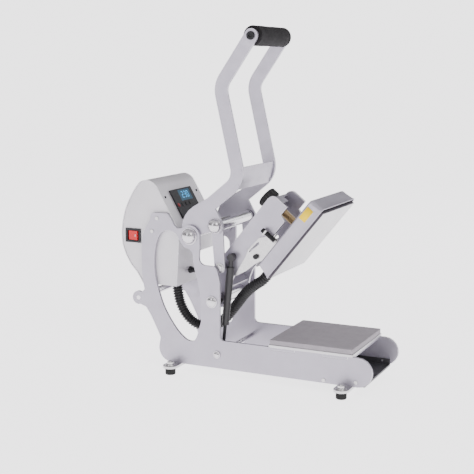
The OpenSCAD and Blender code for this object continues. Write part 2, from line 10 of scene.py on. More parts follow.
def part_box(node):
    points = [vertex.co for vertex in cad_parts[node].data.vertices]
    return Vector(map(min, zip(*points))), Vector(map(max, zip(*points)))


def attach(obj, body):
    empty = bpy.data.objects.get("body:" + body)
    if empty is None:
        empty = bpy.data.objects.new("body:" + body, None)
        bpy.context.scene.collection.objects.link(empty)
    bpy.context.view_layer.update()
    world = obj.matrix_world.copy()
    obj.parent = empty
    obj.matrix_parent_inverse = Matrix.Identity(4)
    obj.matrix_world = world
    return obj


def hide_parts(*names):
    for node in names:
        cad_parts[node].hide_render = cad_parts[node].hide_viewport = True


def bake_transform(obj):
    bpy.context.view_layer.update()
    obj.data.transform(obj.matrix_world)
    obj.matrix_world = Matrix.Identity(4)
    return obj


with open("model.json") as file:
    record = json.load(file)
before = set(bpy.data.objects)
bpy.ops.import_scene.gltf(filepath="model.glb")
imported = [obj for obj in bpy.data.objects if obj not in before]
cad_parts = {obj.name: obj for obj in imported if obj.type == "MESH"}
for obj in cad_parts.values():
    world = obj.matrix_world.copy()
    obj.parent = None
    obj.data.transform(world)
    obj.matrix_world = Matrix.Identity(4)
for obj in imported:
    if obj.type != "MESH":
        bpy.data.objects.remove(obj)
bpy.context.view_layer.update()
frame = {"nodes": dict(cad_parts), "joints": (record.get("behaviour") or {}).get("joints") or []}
nodes = frame["nodes"]
joints = {j["name"]: j for j in frame["joints"]}

MM = 0.001
HINGE = Vector(joints["swing_hinge"]["pos_m"])
OPEN_ANGLE = math.radians(joints["swing_hinge"]["range_deg"][1])
# Turns what is measured with the press closed into the open rest position, and back
OPENED = (
    Matrix.Translation(HINGE)
    @ Matrix.Rotation(-OPEN_ANGLE, 4, "X")
    @ Matrix.Translation(-HINGE)
)
CLOSED = OPENED.inverted()


def at(x, u, z):
    """A point of the design (millimetres, u forwards) in the frame's metres."""
    return Vector((x * MM, -u * MM, z * MM))


# ------------------------------------------------------------------ camera and light

CAMERA_PLACE = (-1.5887, -0.7126, 0.5254)
CAMERA_FORWARD = (0.8913, 0.4227, -0.1643)
CAMERA_LENS = 77.9   # millimetres, on a 36 mm sensor
HORIZON = 3.0        # brightness of the white sweep and of the floor that continues it
# Upward share of the direction, and the brightness seen there
SKY_BANDS = (
    (0.0, HORIZON), (0.075, HORIZON), (0.11, 0.5), (0.2, 0.14), (0.42, 0.16),
    (0.58, 0.75), (0.8, 1.1), (1.0, 0.9),
)
SOFTBOX_TARGET = (0, 0, 0.28)
KEY_POWER = 17       # watts; the other soft boxes are a share of it
# Name, place, width and height, share of the key's power, colour
SOFTBOXES = (
    ("key_softbox", (-1.3, -1.7, 1.9), (1.0, 1.3), 1.0, (1.0, 0.985, 0.98)),
    ("fill_softbox", (-2.1, 0.7, 1.3), (0.5, 1.5), 0.45, (0.97, 0.97, 1.0)),
    ("right_softbox", (2.0, -0.9, 1.3), (0.7, 1.5), 0.45, (0.97, 0.98, 1.0)),
    ("back_softbox", (0.4, 2.0, 1.5), (1.4, 0.9), 0.4, (1.0, 0.98, 0.98)),
)


def add_camera():
    """The photograph's viewing angle, from the front left and slightly above."""
    data = bpy.data.cameras.new("photo_camera")
    data.lens = CAMERA_LENS
    data.sensor_width = 36.0
    data.clip_start = 0.05
    data.clip_end = 50
    camera = bpy.data.objects.new("photo_camera", data)
    bpy.context.scene.collection.objects.link(camera)
    camera.location = CAMERA_PLACE
    camera.rotation_euler = Vector(CAMERA_FORWARD).to_track_quat("-Z", "Y").to_euler()
    bpy.context.scene.camera = camera


def area_light(name, location, size, power, color):
    """A rectangular soft box turned towards the middle of the press."""
    data = bpy.data.lights.new(name, "AREA")
    data.shape = "RECTANGLE"
    data.size, data.size_y = size
    data.energy = power
    data.color = color
    light = bpy.data.objects.new(name, data)
    bpy.context.scene.collection.objects.link(light)
    light.location = location
    towards = Vector(SOFTBOX_TARGET) - Vector(location)
    light.rotation_euler = towards.to_track_quat("-Z", "Y").to_euler()


def add_studio():
    """White sweep all round the horizon, a dark band above it and soft boxes overhead."""
    world = bpy.data.worlds.new("studio")
    bpy.context.scene.world = world
    world.use_nodes = True
    tree = world.node_tree
    background = tree.nodes["Background"]
    background.inputs["Strength"].default_value = 1.0
    direction = tree.nodes.new("ShaderNodeTexCoord")
    split = tree.nodes.new("ShaderNodeSeparateXYZ")
    bands = tree.nodes.new("ShaderNodeValToRGB")
    tree.links.new(direction.outputs["Generated"], split.inputs["Vector"])
    tree.links.new(split.outputs["Z"], bands.inputs["Fac"])
    tree.links.new(bands.outputs["Color"], background.inputs["Color"])
    elements = bands.color_ramp.elements
    while len(elements) > 1:
        elements.remove(elements[-1])
    elements[0].position = 0.0
    for n, (place, level) in enumerate(SKY_BANDS):
        element = elements[0] if n == 0 else elements.new(place)
        element.color = (level, level * 0.985, level, 1)
    for name, place, size, share, color in SOFTBOXES:
        area_light(name, place, size, share * KEY_POWER, color)


# ------------------------------------------------------------------ materials


MIX_FIRST, MIX_SECOND, MIX_RESULT = 6, 7, 2   # the colour sockets of a Mix node


def new_material(name, color, metallic, roughness):
    """A material with its Principled shader."""
    material = bpy.data.materials.new(name)
    material.use_nodes = True
    shader = material.node_tree.nodes["Principled BSDF"]
    shader.inputs["Base Color"].default_value = (*color, 1)
    shader.inputs["Metallic"].default_value = metallic
    shader.inputs["Roughness"].default_value = roughness
    return material, shader


def add_node(material, kind, **values):
    """A shader node with its sockets or its settings filled in."""
    node = material.node_tree.nodes.new(kind)
    for key, value in values.items():
        if key in node.inputs.keys():
            node.inputs[key].default_value = value
        else:
            setattr(node, key, value)
    return node


def link(material, out_socket, in_socket):
    """Joins two sockets."""
    material.node_tree.links.new(out_socket, in_socket)


def object_position(material, stretch=(1, 1, 1)):
    """Object coordinates, squeezed along an axis to draw a pattern out."""
    coordinates = add_node(material, "ShaderNodeTexCoord")
    mapping = add_node(material, "ShaderNodeMapping", Scale=stretch)
    link(material, coordinates.outputs["Object"], mapping.inputs["Vector"])
    return mapping.outputs["Vector"]


def noise(material, position, scale, detail=3.0, rough=0.55):
    """A noise pattern, from 0 to 1."""
    node = add_node(material, "ShaderNodeTexNoise", Scale=scale, Detail=detail, Roughness=rough)
    link(material, position, node.inputs["Vector"])
    return node.outputs["Fac"]


def ramp(material, factor, low, high, first, last):
    """Colours or grey values between two positions of a factor."""
    node = add_node(material, "ShaderNodeValToRGB")
    node.color_ramp.elements[0].position = low
    node.color_ramp.elements[1].position = high
    node.color_ramp.elements[0].color = (*first, 1)
    node.color_ramp.elements[1].color = (*last, 1)
    link(material, factor, node.inputs["Fac"])
    return node.outputs["Color"]


def vary(material, shader, position, color, spread, scale):
    """Slow variation of the base colour, as on any real coat."""
    dark = tuple(c * (1 - spread) for c in color)
    light = tuple(min(1, c * (1 + spread)) for c in color)
    drift = noise(material, position, scale, 4.0)
    link(material, ramp(material, drift, 0.3, 0.7, dark, light), shader.inputs["Base Color"])


def vary_roughness(material, shader, position, low, high, scale):
    """Patches of a duller and a glossier surface."""
    grain = noise(material, position, scale, 5.0)
    value = ramp(material, grain, 0.32, 0.68, (low,) * 3, (high,) * 3)
    link(material, value, shader.inputs["Roughness"])


def bump(material, shader, height, strength, distance):
    """Fine relief from a height pattern."""
    node = add_node(material, "ShaderNodeBump", Strength=strength, Distance=distance)
    link(material, height, node.inputs["Height"])
    link(material, node.outputs["Normal"], shader.inputs["Normal"])


def powder_coat(name, color, metallic=0.55, roughness=0.4):
    """Metallic powder coat: fine orange peel, flake sparkle in the colour, faint handling marks."""
    material, shader = new_material(name, color, metallic, roughness)
    position = object_position(material)
    flakes = add_node(material, "ShaderNodeTexVoronoi", Scale=1900)
    link(material, position, flakes.inputs["Vector"])
    drift = noise(material, position, 7, 4.0)
    darker = tuple(c * 0.95 for c in color)
    lighter = tuple(c * 1.05 for c in color)
    base = ramp(material, drift, 0.3, 0.7, darker, lighter)
    sparkle = ramp(material, flakes.outputs["Distance"], 0.05, 0.75, (1.12,) * 3, (0.93,) * 3)
    mix = add_node(material, "ShaderNodeMix", data_type="RGBA", blend_type="MULTIPLY")
    mix.inputs["Factor"].default_value = 1.0
    link(material, base, mix.inputs[MIX_FIRST])
    link(material, sparkle, mix.inputs[MIX_SECOND])
    link(material, mix.outputs[MIX_RESULT], shader.inputs["Base Color"])
    vary_roughness(material, shader, position, roughness - 0.06, roughness + 0.08, 60)
    peel = noise(material, position, 700, 2.0)
    bump(material, shader, peel, 0.1, 0.0003)
    return material


def turned_metal(name, color, roughness, stretch, streaks=420, depth=0.05):
    """Bare metal with fine machining lines drawn out across the stretched axis."""
    material, shader = new_material(name, color, 1.0, roughness)
    lines = noise(material, object_position(material, stretch), streaks, 4.0, 0.7)
    glossy = max(roughness - 0.07, 0.03)
    value = ramp(material, lines, 0.3, 0.7, (glossy,) * 3, (roughness + 0.1,) * 3)
    link(material, value, shader.inputs["Roughness"])
    smudges = noise(material, object_position(material), 30, 4.0)
    tinted = ramp(material, smudges, 0.3, 0.75, tuple(c * 0.9 for c in color), color)
    link(material, tinted, shader.inputs["Base Color"])
    bump(material, shader, lines, depth, 0.0003)
    return material


def grained(name, color, roughness, scale, strength, distance, spread=0.12, gloss=0.5):
    """Moulded or sponge surface with an even grain."""
    material, shader = new_material(name, color, 0.0, roughness)
    shader.inputs["Specular IOR Level"].default_value = gloss
    position = object_position(material)
    vary(material, shader, position, color, spread, scale / 9)
    vary_roughness(material, shader, position, roughness - 0.08, min(roughness + 0.08, 1), scale / 3)
    bump(material, shader, noise(material, position, scale, 3.0, 0.7), strength, distance)
    return material


def glowing(name, color, strength):
    """A lit segment of the display."""
    material, shader = new_material(name, color, 0.0, 0.35)
    shader.inputs["Emission Color"].default_value = (*color, 1)
    shader.inputs["Emission Strength"].default_value = strength
    position = object_position(material)
    vary_roughness(material, shader, position, 0.25, 0.45, 300)
    return material


def display_glass(name):
    """Backlit display: patchy dark teal under a glossy window."""
    teal = (0.006, 0.035, 0.06)
    material, shader = new_material(name, teal, 0.0, 0.3)
    position = object_position(material)
    vary(material, shader, position, teal, 0.35, 55)
    shader.inputs["Emission Color"].default_value = (0.005, 0.07, 0.13, 1)
    shader.inputs["Emission Strength"].default_value = 0.5
    shader.inputs["Specular IOR Level"].default_value = 0.25
    vary_roughness(material, shader, position, 0.25, 0.4, 120)
    return material


def woven(name, color):
    """Glass fibre board: a fine crossed weave."""
    material, shader = new_material(name, color, 0.0, 0.9)
    position = object_position(material)
    weave = add_node(material, "ShaderNodeTexWave", Scale=260, Distortion=1.5)
    link(material, position, weave.inputs["Vector"])
    vary(material, shader, position, color, 0.1, 90)
    bump(material, shader, weave.outputs["Fac"], 0.4, 0.0006)
    return material


def white_sweep(name):
    """Matt studio floor that glows as brightly as the horizon behind it."""
    material = grained(name, (0.5, 0.49, 0.5), 0.9, 60, 0.02, 0.0005, 0.008)
    shader = material.node_tree.nodes["Principled BSDF"]
    shader.inputs["Emission Color"].default_value = (1.0, 0.985, 1.0, 1)
    shader.inputs["Emission Strength"].default_value = 0.86 * HORIZON
    return material


add_camera()
add_studio()

# powder_coat: name, colour, metallic, roughness
# turned_metal: name, colour, roughness, stretch of the lines, their scale and depth
# grained: name, colour, roughness, grain scale, strength and depth, colour spread, gloss
SILVER = powder_coat("silver_powder_coat", (0.4, 0.378, 0.44), 0.6, 0.36)
BOX_SILVER = powder_coat("box_powder_coat", (0.6, 0.58, 0.615), 0.35, 0.42)
# Light bare-metal colour on the rounded edges of the sheets and on the hem beads: painted highlight
# along the edges.
EDGE_HIGHLIGHT = turned_metal("painted_edge_highlight", (0.86, 0.85, 0.88), 0.3, (1, 1, 1), 260, 0.04)
# Near black of the front floor plate under the platen: painted shade, not a paint of its own.
FLOOR_PLATE_SHADE = powder_coat("dark_paint", (0.05, 0.05, 0.055), 0.3, 0.42)
CHROME = turned_metal("polished_steel", (0.68, 0.66, 0.69), 0.16, (0.05, 1, 1), 500, 0.03)
DOME_CHROME = turned_metal("dome_chrome", (0.62, 0.6, 0.63), 0.24, (1, 1, 1), 90, 0.02)
ZINC = turned_metal("zinc_plate", (0.6, 0.59, 0.6), 0.3, (0.3, 1, 1), 200, 0.06)
SLAB_METAL = turned_metal("platen_metal", (0.6, 0.59, 0.61), 0.42, (1, 0.04, 1), 260, 0.08)
BRONZE = turned_metal("bronze", (0.5, 0.37, 0.2), 0.3, (1, 1, 0.2), 300, 0.06)
SHEATH = turned_metal("element_sheath", (0.32, 0.25, 0.2), 0.45, (1, 1, 1), 200, 0.1)
BLACK_STEEL = turned_metal("black_oxide_steel", (0.03, 0.03, 0.032), 0.42, (1, 1, 1), 300, 0.05)
STRUT_BLACK = powder_coat("strut_black", (0.014, 0.013, 0.015), 0.1, 0.4)
FOAM = grained("grip_foam", (0.01, 0.009, 0.0105), 0.85, 620, 0.8, 0.0009, 0.4, 0.2)
RUBBER = grained("foot_rubber", (0.012, 0.012, 0.012), 0.75, 700, 0.3, 0.0004, 0.12, 0.25)
SILICONE = grained("silicone_sponge", (0.3, 0.275, 0.305), 0.8, 620, 0.35, 0.0006, 0.07)
PLASTIC = grained("black_plastic", (0.012, 0.012, 0.014), 0.45, 800, 0.15, 0.0003, 0.15, 0.3)
KNOB_PLASTIC = grained("knob_plastic", (0.01, 0.01, 0.011), 0.4, 600, 0.15, 0.0003, 0.15, 0.3)
BEZEL = grained("bezel_plastic", (0.02, 0.019, 0.023), 0.5, 900, 0.12, 0.0002, 0.1, 0.25)
KEY = grained("key_plastic", (0.006, 0.006, 0.008), 0.5, 900, 0.12, 0.0002, 0.1, 0.3)
RED_KEY = grained("red_key", (0.2, 0.015, 0.02), 0.45, 900, 0.12, 0.0002, 0.1, 0.3)
HOSE = grained("conduit_plastic", (0.006, 0.006, 0.007), 0.32, 500, 0.12, 0.0003, 0.15, 0.4)
CIRCUIT = grained("circuit_board", (0.02, 0.14, 0.06), 0.5, 500, 0.1, 0.0003, 0.2)
RED_LENS = grained("red_lens", (0.5, 0.004, 0.006), 0.22, 250, 0.08, 0.0003, 0.15, 0.35)
YELLOW = grained("label_yellow", (0.82, 0.56, 0.002), 0.5, 500, 0.05, 0.0002, 0.04, 0.2)
WHITE_MARK = grained("white_mark", (0.85, 0.83, 0.83), 0.5, 700, 0.05, 0.0002, 0.04)
DIGITS = glowing("display_digits", (0.02, 0.3, 0.62), 1.3)
DISPLAY = display_glass("display_window")
BOARD = woven("glass_fibre", (0.82, 0.8, 0.75))
FLOOR = white_sweep("floor_sweep")
# Black washers between the toggle links and arms: a real part whose black colour is painted shade of
# the gap between the parts.
WASHER_GAP_SHADE = grained("washer_gap_shade", (0.02, 0.02, 0.022), 0.5, 700, 0.1, 0.0002, 0.1)
# Dark colour of the heated slab's side faces: painted shade along the slab's edges, not a finish of
# its own.
SLAB_SIDE_SHADE = turned_metal("slab_side_painted_shade", (0.09, 0.08, 0.095), 0.55, (1, 1, 1), 240, 0.08)


# ------------------------------------------------------------------ mesh helpers

FLOOR_HALF = 30        # metres
WELD_DISTANCE = 2e-6   # metres
FLAT_ANGLE = 0.3       # degrees: faces closer than this to one plane are joined
SHARP_ANGLE = 32       # degrees: edges sharper than this are rounded
BEVEL_SEGMENTS = 2


def add_floor():
    """The studio floor, large enough to reach the horizon."""
    mesh = bpy.data.meshes.new("floor")
    bm = bmesh.new()
    signs = ((-1, -1), (1, -1), (1, 1), (-1, 1))
    corners = [bm.verts.new((x * FLOOR_HALF, y * FLOOR_HALF, 0)) for x, y in signs]
    bm.faces.new(corners)
    bm.to_mesh(mesh)
    bm.free()
    floor = bpy.data.objects.new("floor", mesh)
    floor.data.materials.append(FLOOR)
    bpy.context.scene.collection.objects.link(floor)


def make_piece(name, bm, material, body, move=None):
    """Turns a bmesh into a piece that rides on a body."""
    if move is not None:
        bm.transform(move)
    bmesh.ops.recalc_face_normals(bm, faces=bm.faces)
    mesh = bpy.data.meshes.new(name)
    bm.to_mesh(mesh)
    bm.free()
    for face in mesh.polygons:
        face.use_smooth = True
    mesh.materials.append(material)
    piece = bpy.data.objects.new(name, mesh)
    bpy.context.scene.collection.objects.link(piece)
    if body:
        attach(piece, body)
    return piece


def soften(piece, width, edge_slot=None):
    """Welds, rounds the sharp edges and keeps the flat faces flat."""
    weld = piece.modifiers.new("weld", "WELD")
    weld.merge_threshold = WELD_DISTANCE
    dissolve = piece.modifiers.new("dissolve", "DECIMATE")
    dissolve.decimate_type = "DISSOLVE"
    dissolve.angle_limit = math.radians(FLAT_ANGLE)
    rounding = piece.modifiers.new("rounding", "BEVEL")
    rounding.width = width
    rounding.segments = BEVEL_SEGMENTS
    rounding.limit_method = "ANGLE"
    rounding.angle_limit = math.radians(SHARP_ANGLE)
    if edge_slot is not None:
        rounding.material = edge_slot
    piece.modifiers.new("even_normals", "WEIGHTED_NORMAL").keep_sharp = True


def skin(bm, rings):
    """Joins each closed ring of points to the next one, and gives back their vertices."""
    loops = [[bm.verts.new(p) for p in ring] for ring in rings]
    count = len(loops[0])
    for near, far in zip(loops, loops[1:]):
        for k in range(count):
            bm.faces.new((near[k], near[(k + 1) % count], far[(k + 1) % count], far[k]))
    return loops


def closed_skin(bm, rings):
    """A skin over the rings with both of its ends closed."""
    loops = skin(bm, rings)
    bm.faces.new(loops[0])
    bm.faces.new(loops[-1])


def lathe(profile, sides=48, flute_depth=0.0, flutes=0):
    """A shape turned about +Z from (radius, height, share of the flutes' depth) points."""
    bm = bmesh.new()
    rings = []
    for radius, height, share in profile:
        ring = []
        for k in range(sides):
            angle = 2 * math.pi * k / sides
            r = radius + share * flute_depth * math.cos(flutes * angle)
            ring.append((r * math.cos(angle), r * math.sin(angle), height))
        rings.append(ring)
    closed_skin(bm, rings)
    return bm


def rounded_profile(radius, height, edge, steps):
    """Lathe points of a cylinder with rounded rims. The first is doubled, for a crisp flat end."""
    points = [(radius - edge, 0.0, 1)]
    for i in range(steps + 1):
        a = math.pi / 2 * i / steps
        points.append((radius - edge + edge * math.sin(a), edge - edge * math.cos(a), 1))
    for i in range(steps + 1):
        a = math.pi / 2 * i / steps
        points.append((radius - edge + edge * math.cos(a), height - edge + edge * math.sin(a), 1))
    return points


def spline_point(a, b, c, d, t):
    """A point between b and c on the Catmull-Rom curve through a, b, c and d."""
    return 0.5 * (
        2 * b + (c - a) * t + (2 * a - 5 * b + 4 * c - d) * t**2 + (3 * b - a - 3 * c + d) * t**3
    )


def smooth_path(points, steps):
    """A Catmull-Rom curve through the points."""
    path = []
    last = len(points) - 1
    for i in range(last):
        a, b = points[max(i - 1, 0)], points[i]
        c, d = points[i + 1], points[min(i + 2, last)]
        path += [spline_point(a, b, c, d, k / steps) for k in range(steps)]
    return path + [points[last]]


def even_path(path, spacing):
    """The same path with its points a fixed distance apart, and its length."""
    lengths = [0.0]
    for p, q in zip(path, path[1:]):
        lengths.append(lengths[-1] + (q - p).length)
    total = lengths[-1]
    count = max(2, round(total / spacing))
    result, i = [], 0
    for n in range(count + 1):
        target = total * n / count
        while i < len(path) - 2 and lengths[i + 1] < target:
            i += 1
        span = lengths[i + 1] - lengths[i]
        share = (target - lengths[i]) / span if span else 0
        result.append(path[i].lerp(path[i + 1], min(max(share, 0), 1)))
    return result, total


def swept(path, radius_at, sides):
    """A tube along a path; radius_at(n) gives the radius of ring n."""
    bm = bmesh.new()
    side = Vector((1, 0, 0.2))
    rings = []
    for n, point in enumerate(path):
        ahead = (path[min(n + 1, len(path) - 1)] - path[max(n - 1, 0)]).normalized()
        side = (side - ahead * side.dot(ahead)).normalized()
        other = ahead.cross(side)
        radius = radius_at(n)
        angles = [2 * math.pi * k / sides for k in range(sides)]
        rings.append([point + radius * (math.cos(a) * side + math.sin(a) * other) for a in angles])
    closed_skin(bm, rings)
    return bm


def rounded_rectangle(x0, x1, y0, y1, radius, steps=5):
    """Corner points of a rectangle with round corners, anticlockwise."""
    corners = [
        (x1 - radius, y1 - radius, 0),
        (x0 + radius, y1 - radius, 90),
        (x0 + radius, y0 + radius, 180),
        (x1 - radius, y0 + radius, 270),
    ]
    points = []
    for cx, cy, start in corners:
        for i in range(steps + 1):
            a = math.radians(start + 90 * i / steps)
            points.append((cx + radius * math.cos(a), cy + radius * math.sin(a)))
    return points


def rounded_slab(low, high, radius, edge, steps=4):
    """A slab with round corners and rounded upper and lower rims."""
    x0, y0, z0 = low
    x1, y1, z1 = high
    levels = [(edge, z0)]
    for i in range(1, steps + 1):
        a = math.pi / 2 * i / steps
        levels.append((edge - edge * math.sin(a), z0 + edge - edge * math.cos(a)))
    for i in range(steps + 1):
        a = math.pi / 2 * i / steps
        levels.append((edge - edge * math.cos(a), z1 - edge + edge * math.sin(a)))
    bm = bmesh.new()
    rings = []
    for inset, z in levels:
        outline = rounded_rectangle(x0 + inset, x1 - inset, y0 + inset, y1 - inset, radius)
        rings.append([(x, y, z) for x, y in outline])
    closed_skin(bm, rings)
    return bm


# ------------------------------------------------------------------ finishes of the CAD nodes


def finish_node(name, material, width, edge=None):
    """Gives a CAD node its material and lightly rounded edges, in a second material if asked."""
    piece = nodes[name]
    mesh = piece.data
    mesh.materials.clear()
    mesh.materials.append(material)
    if edge is not None:
        mesh.materials.append(edge)
    if "custom_normal" in mesh.attributes:
        mesh.attributes.remove(mesh.attributes["custom_normal"])
    for face in mesh.polygons:
        face.use_smooth = True
        face.material_index = 0
    soften(piece, width, edge_slot=1 if edge is not None else None)


SHEET_EDGE = 0.6 * MM
BOX_EDGE = 0.5 * MM
SHEET_NODES = (
    "side_plate_left", "side_plate_right", "handle_arm_left", "handle_arm_right",
    "handle_stiffener", "link_left", "link_right", "cheek_left", "cheek_right",
    "swing_web", "base_bridge",
)
BOX_NODES = (
    "control_box_wrap", "control_box_side_left", "control_box_side_right", "control_box_floor",
)
# The rounded edges of the sheets and of the box get the lighter second material, a painted highlight.
for sheet_node in SHEET_NODES:
    finish_node(sheet_node, SILVER, SHEET_EDGE, EDGE_HIGHLIGHT)
for box_node in BOX_NODES:
    finish_node(box_node, BOX_SILVER, BOX_EDGE, EDGE_HIGHLIGHT)
# The other CAD nodes that keep their own mesh: material, and width of the rounded edges in metres
FINISHES = {
    # The front floor plate lies in shade under the platen; its near black colour is painted shade.
    "front_floor": (FLOOR_PLATE_SHADE, 0.0004),
    "lower_platen": (SLAB_METAL, 0.0006),
    "foot_bracket_front": (ZINC, 0.0006),
    "foot_bracket_rear": (ZINC, 0.0006),
    "rubber_feet": (RUBBER, 0.0008),
    "foot_bolts": (ZINC, 0.0004),
    "rear_tie_rod": (CHROME, 0.0004),
    "main_pivot_shaft": (DOME_CHROME, 0.0004),
    "hinge_shaft": (DOME_CHROME, 0.0004),
    "strut_pin": (DOME_CHROME, 0.0004),
    "frame_screws": (ZINC, 0.0006),
    "controller": (BEZEL, 0.0006),
    "controller_screws": (BLACK_STEEL, 0.0003),
    "display": (DISPLAY, 0.0002),
    "button_set": (RED_KEY, 0.0003),
    "button_down": (KEY, 0.0003),
    "button_up": (KEY, 0.0003),
    "button_mode": (KEY, 0.0003),
    "rocker_bezel": (PLASTIC, 0.0007),
    "rocker_switch": (RED_LENS, 0.0008),
    "relay_board": (CIRCUIT, 0.0005),
    "cable_gland": (PLASTIC, 0.0005),
    "conduit_ferrule": (PLASTIC, 0.0012),
    "grip_screws": (BLACK_STEEL, 0.0008),
    "toggle_tube": (CHROME, 0.0004),
    "toggle_bolts": (DOME_CHROME, 0.0004),
    "link_bolts": (ZINC, 0.0005),
    "swing_hinge_tube": (CHROME, 0.0004),
    "toggle_bosses": (CHROME, 0.0005),
    "strut_stud": (CHROME, 0.0005),
    "heat_slab": (SLAB_METAL, 0.001),
    "heating_element": (SHEATH, 0.0004),
    "insulation": (BOARD, 0.0005),
    "platen_hub": (CHROME, 0.0006),
    "platen_bracket": (ZINC, 0.0005),
    "platen_studs": (BLACK_STEEL, 0.0006),
    "strut_cylinder": (STRUT_BLACK, 0.0008),
    "strut_rod": (BLACK_STEEL, 0.0005),
}
for cad_node, (cad_material, rim) in FINISHES.items():
    finish_node(cad_node, cad_material, rim)


def second_finish(name, material, chosen):
    """Gives the faces for which chosen(centre, normal) holds another material."""
    mesh = nodes[name].data
    to_frame = nodes[name].matrix_world
    turn = to_frame.to_3x3()
    mesh.materials.append(material)
    for face in mesh.polygons:
        if chosen(to_frame @ face.center, turn @ face.normal):
            face.material_index = len(mesh.materials) - 1


PRESS_AXIS = OPENED.to_3x3() @ Vector((0, 0, 1))
WASHER_X = (62.5 * MM, 63.45 * MM)   # where the toggle bolts' washers lie, from the middle plane
STUD_JOIN = 117.9 * MM               # the studs are bright below this height of the closed press


def in_washer(centre, normal):
    """On a washer of the toggle bolts, whose black is painted shade of the gap it sits in."""
    return WASHER_X[0] < abs(centre.x) < WASHER_X[1]


def faces_sideways(centre, normal):
    """On a side of the heated slab, not its top or its working face; these sides get painted shade."""
    return abs(normal.dot(PRESS_AXIS)) < 0.5


def in_lower_stud(centre, normal):
    """On the lower, zinc plated end of a stud."""
    return (CLOSED @ centre).z < STUD_JOIN


# The toggle bolts' washers are painted black as the shade of the gap between link and arm.
second_finish("toggle_bolts", WASHER_GAP_SHADE, in_washer)
# The slab's side faces are painted dark as shade.
second_finish("heat_slab", SLAB_SIDE_SHADE, faces_sideways)
second_finish("platen_studs", ZINC, in_lower_stud)


# ------------------------------------------------------------------ conduit and sensor lead

CONDUIT_ROUTE = [
    (-34, -141.5, 148.6), (-34, -139.5, 133), (-33, -135, 112), (-30, -125, 92),
    (-25, -111, 78), (-19, -94, 72), (-15, -76, 75), (-14, -58, 88),
    (-14.5, -43, 105), (-16, -31, 120), (-19, -19, 135), (-22, -6, 147.5),
    (-24, 7, 157.5), (-25, 20, 166.5), (-25, 31, 179.4),
]
LEAD_ROUTE = [
    (-22, -112.2, 172), (-22, -107, 171), (-22, -103, 166), (-22, -101, 159),
    (-24, -100, 152), (-28, -98, 148), (-33, -95, 149), (-37, -93, 154), (-40, -92, 160),
]
CONDUIT_RADIUS = 9.5 * MM
RIB_PITCH = 4.6 * MM
RIB_DEPTH = 1.9 * MM
RIB_FLANK = 2.2              # steepness of a rib's sides
RIB_SHIFT = 0.1              # makes the ribs a little narrower than the grooves
RINGS_PER_RIB = 8
LEAD_RADIUS = 1.6 * MM
LEAD_END_RADIUS = 2.0 * MM   # of the moulded sensor end
LEAD_STEP = 1.0 * MM
LEAD_END_RINGS = 13


def build_conduit():
    """Corrugated conduit with flat-topped ribs, bending between the box and the swing arm."""
    fine = smooth_path([at(*p) for p in CONDUIT_ROUTE], 12)
    path, length = even_path(fine, RIB_PITCH / RINGS_PER_RIB)

    def radius_at(n):
        wave = math.cos(2 * math.pi * n / RINGS_PER_RIB)
        crest = math.tanh(RIB_FLANK * (wave - RIB_SHIFT))
        return CONDUIT_RADIUS - RIB_DEPTH * (0.5 - 0.5 * crest)

    hose = make_piece("conduit_hose", swept(path, radius_at, 28), HOSE, None)
    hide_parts("conduit")
    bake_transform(hose)


def build_lead():
    """Thin sensor lead that loops out of its gland, with a moulded end."""
    path, _ = even_path(smooth_path([at(*p) for p in LEAD_ROUTE], 8), LEAD_STEP)
    moulded_from = len(path) - LEAD_END_RINGS

    def radius_at(n):
        return LEAD_RADIUS if n < moulded_from else LEAD_END_RADIUS

    lead = make_piece("sensor_cable", swept(path, radius_at, 16), HOSE, "frame")
    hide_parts("sensor_lead")


build_conduit()
build_lead()


# ------------------------------------------------------------------ grip

GRIP_ROLL = 3.5 * MM     # radius of the sleeve's rolled ends
GRIP_WAIST = 0.35 * MM   # how much the middle and the ends are drawn in
GRIP_SPANS = 12


def build_grip():
    """Foam sleeve with rolled ends that press against the arms."""
    low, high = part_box("grip")
    radius = (high.z - low.z) / 2
    length = high.x - low.x
    profile = rounded_profile(radius, length, GRIP_ROLL, 7)
    inserted = []
    for i in range(1, GRIP_SPANS):
        share = i / GRIP_SPANS
        drawn_in = GRIP_WAIST * math.cos(math.pi * share * 2) ** 2
        inserted.append((radius - drawn_in, length * share, 1))
    middle = len(profile) // 2
    bm = lathe(profile[:middle + 1] + inserted + profile[middle + 1:], 72)
    centre = (low + high) / 2
    move = Matrix.Translation((low.x, centre.y, centre.z)) @ Matrix.Rotation(math.pi / 2, 4, "Y")
    grip = make_piece("grip_sleeve", bm, FOAM, "handle", move)
    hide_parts("grip")


build_grip()

# ------------------------------------------------------------------ pressure knob and spindle

KNOB_BASE = 175.2 * MM
KNOB_FLUTES = 18
FLUTE_DEPTH = 0.75 * MM
# The knob from its underside to the dish in its top: radius and height in mm, share of the flutes
KNOB_PROFILE = (
    (10, 0, 0), (15.5, 0, 0.4), (16.9, 0.6, 0.8), (17.4, 1.8, 1), (17.4, 12.5, 1),
    (16.9, 14.4, 0.8), (15.6, 15.5, 0.5), (13.8, 16, 0.1), (12, 15.7, 0), (10.5, 14.6, 0),
    (6, 14.2, 0),
)
INSERT_RADIUS = 4.5 * MM
INSERT_HEIGHT = 1.1 * MM
INSERT_BASE = 14.1 * MM      # above the knob's underside
SPINDLE_BASE = 105.0 * MM
SPINDLE_Y = -126.5 * MM
SPINDLE_CORE = 6.35 * MM
SPINDLE_CREST = 7.0 * MM
SPINDLE_SIDES = 40
THREAD_PITCH = 2.0 * MM
RINGS_PER_TURN = 8
COLLAR_RADIUS = 11 * MM
COLLAR_HEIGHT = 3 * MM
COLLAR_BASE = 49.5 * MM      # above the spindle's lower end


